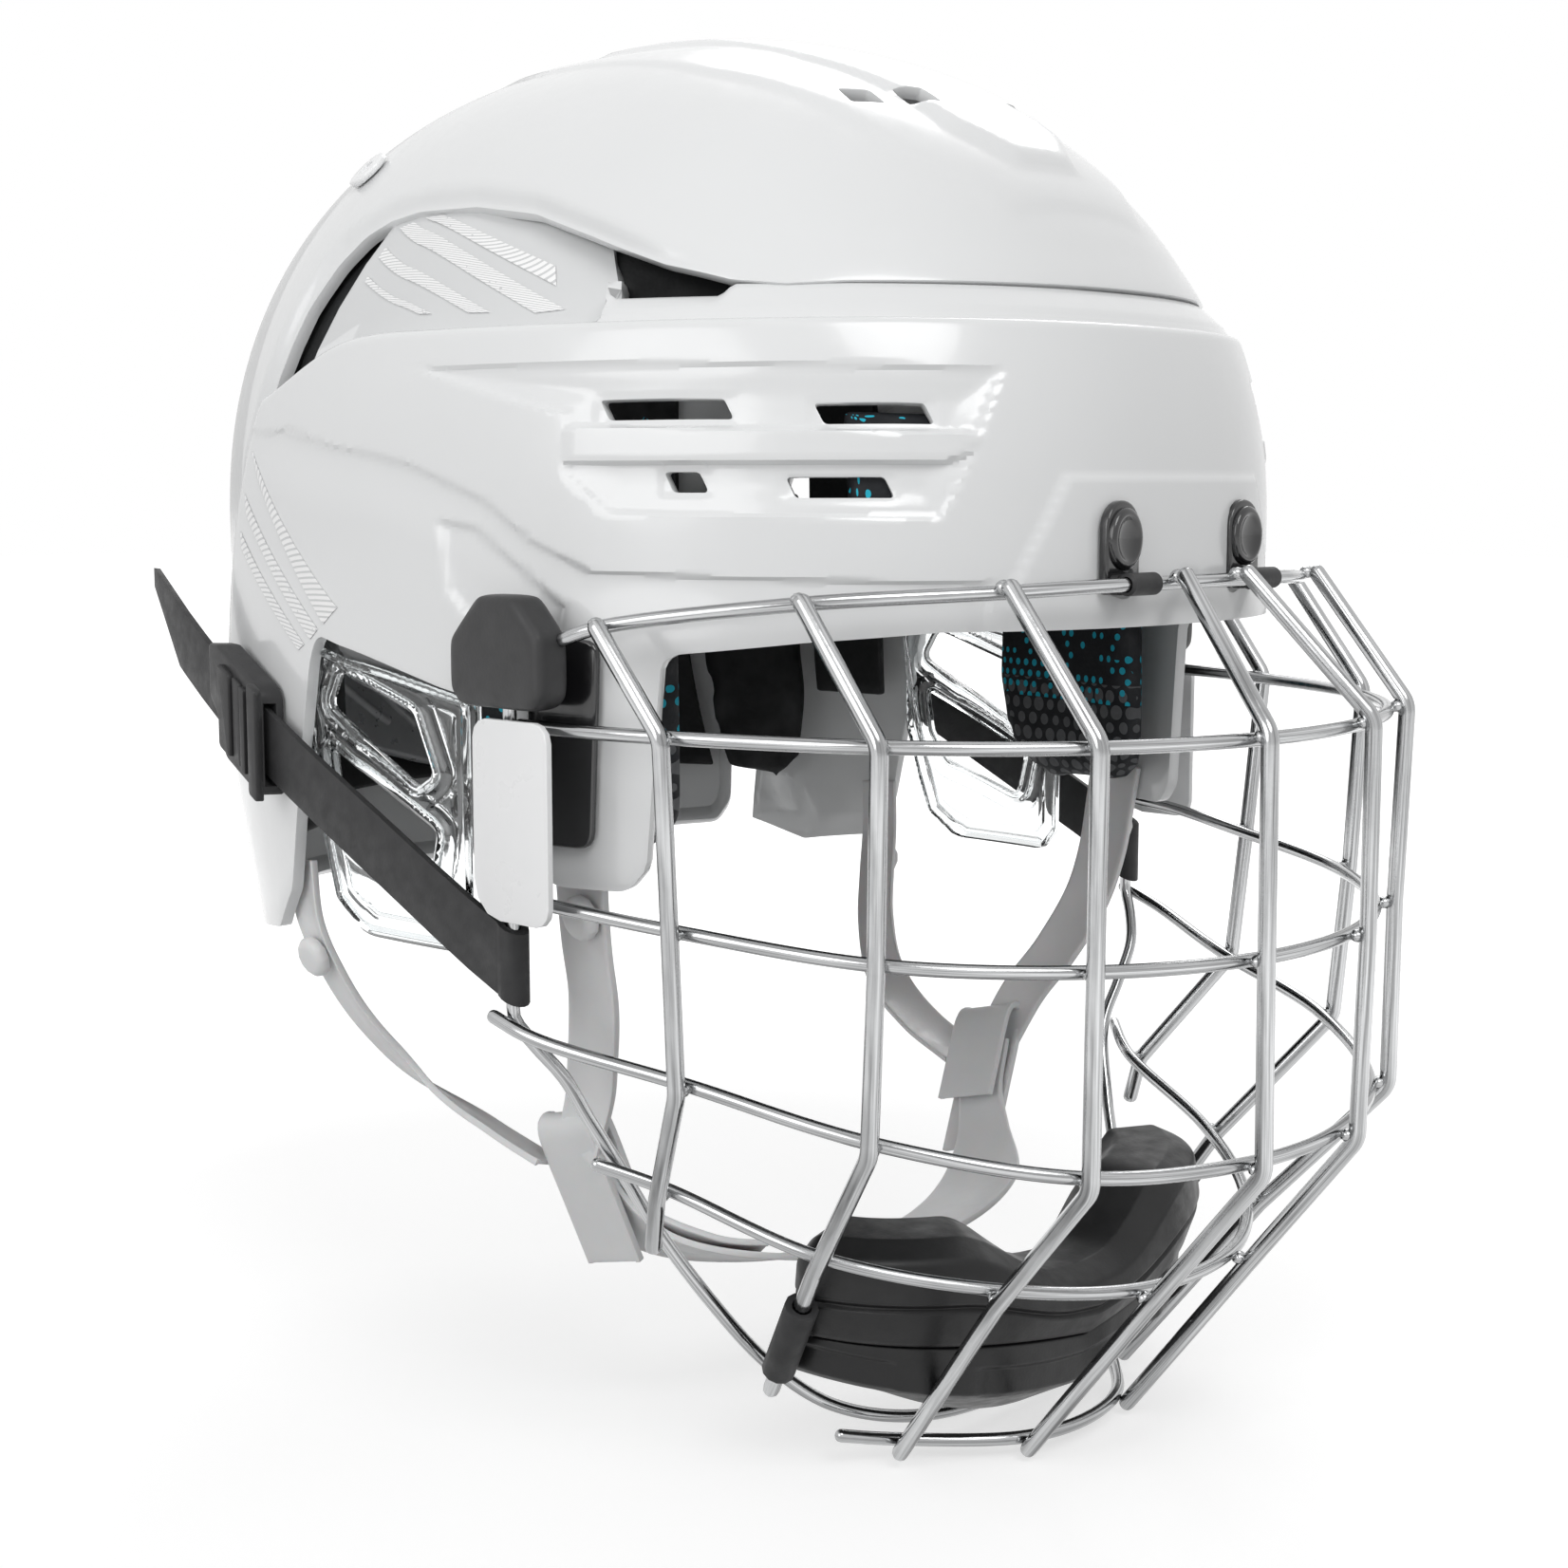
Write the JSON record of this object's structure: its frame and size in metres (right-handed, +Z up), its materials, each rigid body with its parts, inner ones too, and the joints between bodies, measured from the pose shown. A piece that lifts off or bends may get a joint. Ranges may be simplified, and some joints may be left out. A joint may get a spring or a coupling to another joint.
{
  "type": "ice hockey helmet with wire face cage",
  "caption": "White two-piece ice hockey helmet with vents, clear ear guards, chin straps and a hinged round-wire face cage with a padded chin cup.",
  "frame": {"origin": "on the plane of symmetry, level with the brow wire, at the widest section of the shell: the middle of the head it sits on", "axes": "+Z up towards the crown, -Y forward out of the face, +X to the wearer's left"},
  "size_m": [0.2272, 0.3025, 0.3135],
  "materials": {
    "shell": "glossy moulded white",
    "foam": "black closed-cell foam",
    "clear_guard": "clear moulded polycarbonate",
    "smoke": "smoky translucent plastic",
    "black_plastic": "glossy black moulded plastic",
    "wire": "bright plated steel wire",
    "soft_black": "matte black rubber",
    "label": "white plastic, unprinted",
    "webbing": "pale grey woven webbing",
    "soft_white": "soft white plastic"
  },
  "bodies": {
    "helmet": {"front_shell": "shell", "forehead_pad": "foam", "temple_pad_left": "foam", "temple_pad_right": "foam", "side_pad_left": "foam", "side_pad_right": "foam", "ear_guard_left": "clear_guard", "ear_guard_right": "clear_guard", "brow_clip_left": "black_plastic", "brow_clip_right": "black_plastic", "brow_clip_screw_left": "black_plastic", "brow_clip_screw_right": "black_plastic", "temple_cover_left": "black_plastic", "temple_cover_right": "black_plastic", "front_strap_left": "webbing", "front_strap_right": "webbing", "rear_strap_left": "webbing", "rear_strap_right": "webbing", "front_button_left": "soft_white", "front_button_right": "soft_white", "rear_button_left": "soft_white", "rear_button_right": "soft_white", "strap_guide_left": "soft_white", "strap_guide_right": "soft_white", "under_chin_strap": "webbing"},
    "rear_half": {"rear_shell": "shell", "crown_pad": "foam", "dome_screw_left": "shell", "dome_screw_right": "shell", "rear_pad_left": "foam", "rear_pad_right": "foam"},
    "lock": {"occipital_lock": "black_plastic"},
    "cradle": {"occipital_cradle": "smoke"},
    "cage": {"brow_rod": "wire", "eye_rod": "wire", "nose_rod": "wire", "mouth_rod": "wire", "jaw_rod": "wire", "chin_rod": "wire", "perimeter_wire": "wire", "bar_1_left": "wire", "bar_1_right": "wire", "bar_2_left": "wire", "bar_2_right": "wire", "bar_3_left": "wire", "bar_3_right": "wire", "bar_4_left": "wire", "bar_4_right": "wire", "temple_bumper_left": "soft_black", "temple_bumper_right": "soft_black", "label_plate_left": "label", "label_plate_right": "label", "cup_clip_left": "soft_black", "cup_clip_right": "soft_black", "chin_cup": "black_plastic", "chin_cup_pad": "foam"},
    "strap_left": {"cage_strap_left": "soft_black", "strap_buckle_left": "black_plastic"},
    "strap_right": {"cage_strap_right": "soft_black", "strap_buckle_right": "black_plastic"}
  },
  "joints": [
    {"name": "cage_lift", "type": "hinge", "parent": "helmet", "child": "cage", "pos_m": [0, -0.15, 0], "axis": [-1, 0, 0], "range_deg": [0, 110]},
    {"name": "strap_swing_left", "type": "hinge", "parent": "cage", "child": "strap_left", "pos_m": [0.107, -0.056, -0.075], "axis": [0, 0, -1], "range_deg": [0, 50]},
    {"name": "strap_swing_right", "type": "hinge", "parent": "cage", "child": "strap_right", "pos_m": [-0.107, -0.056, -0.075], "axis": [0, 0, 1], "range_deg": [0, 50]},
    {"name": "length_slide", "type": "slide", "parent": "helmet", "child": "rear_half", "axis": [0, 1, 0], "range_m": [0, 0.008]},
    {"name": "lock_slide", "type": "slide", "parent": "rear_half", "child": "lock", "axis": [0, 0, 1], "range_m": [0, 0.01]},
    {"name": "cradle_forward", "type": "slide", "parent": "rear_half", "child": "cradle", "axis": [0, -1, 0], "range_m": [0, 0.006]}
  ],
  "couplings": [
    {"joint": "strap_swing_left", "follows": "cage_lift", "ratio": 0.35},
    {"joint": "strap_swing_right", "follows": "cage_lift", "ratio": 0.35},
    {"joint": "cradle_forward", "follows": "lock_slide", "ratio": 0.6}
  ]
}
